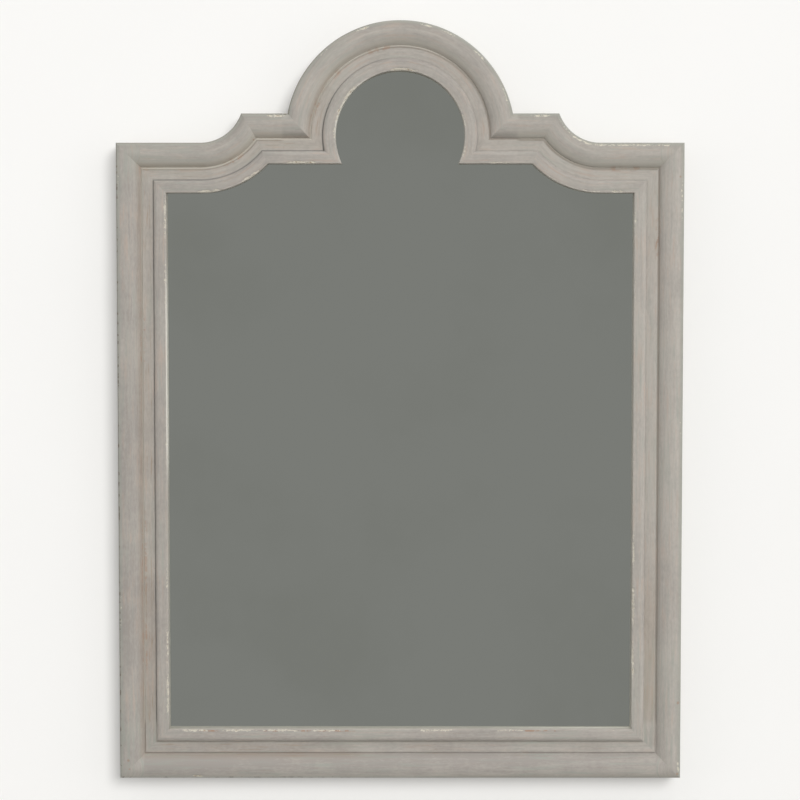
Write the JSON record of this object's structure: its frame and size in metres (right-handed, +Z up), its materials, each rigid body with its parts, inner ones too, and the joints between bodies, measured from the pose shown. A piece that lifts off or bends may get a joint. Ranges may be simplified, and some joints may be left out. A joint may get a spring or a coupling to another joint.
{
  "type": "overmantel mirror",
  "caption": "Wall mirror in a moulded, painted wood frame with stepped shoulders, hollow curves and a round arch, with swinging D rings on its back to hang it by.",
  "frame": {"origin": "on the wall's surface, midway between the hinge lines of the two D rings on the back", "axes": "+Z up, +X to the right as seen from the front, +Y towards the wall; the glass faces -Y"},
  "size_m": [0.9, 0.054, 1.2083],
  "materials": {
    "painted_wood": "distressed pale grey paint, brushed, with worn cream edges and brown wax in the quirks",
    "mirror": "silvered glass",
    "bare_wood": "sawn, unfinished",
    "hardboard": "smooth hardboard",
    "brass": "brass plated steel",
    "screws": "zinc plated",
    "rubber": "matt black rubber"
  },
  "bodies": {
    "frame": {"bottom_rail": "painted_wood", "right_stile": "painted_wood", "left_stile": "painted_wood", "right_shoulder": "painted_wood", "left_shoulder": "painted_wood", "right_ledge": "painted_wood", "left_ledge": "painted_wood", "right_arch": "painted_wood", "left_arch": "painted_wood", "mitre_tongues": "bare_wood", "right_bead": "bare_wood", "left_bead": "bare_wood", "bottom_bead": "bare_wood", "top_blocks": "bare_wood", "left_lower_bumper": "rubber", "right_lower_bumper": "rubber", "left_upper_bumper": "rubber", "right_upper_bumper": "rubber", "mirror_glass": "mirror", "backing_board": "hardboard", "board_sprigs": "screws", "hanger_screws": "screws", "left_hanger_strap": "brass", "right_hanger_strap": "brass"},
    "left_ring": {"left_hanger_ring": "brass"},
    "right_ring": {"right_hanger_ring": "brass"}
  },
  "joints": [
    {"name": "left_ring_hinge", "type": "hinge", "parent": "frame", "child": "left_ring", "pos_m": [-0.421, -0.0054, 0], "axis": [1, 0, 0], "range_deg": [0, 180]},
    {"name": "right_ring_hinge", "type": "hinge", "parent": "frame", "child": "right_ring", "pos_m": [0.421, -0.0054, 0], "axis": [1, 0, 0], "range_deg": [0, 180]}
  ]
}
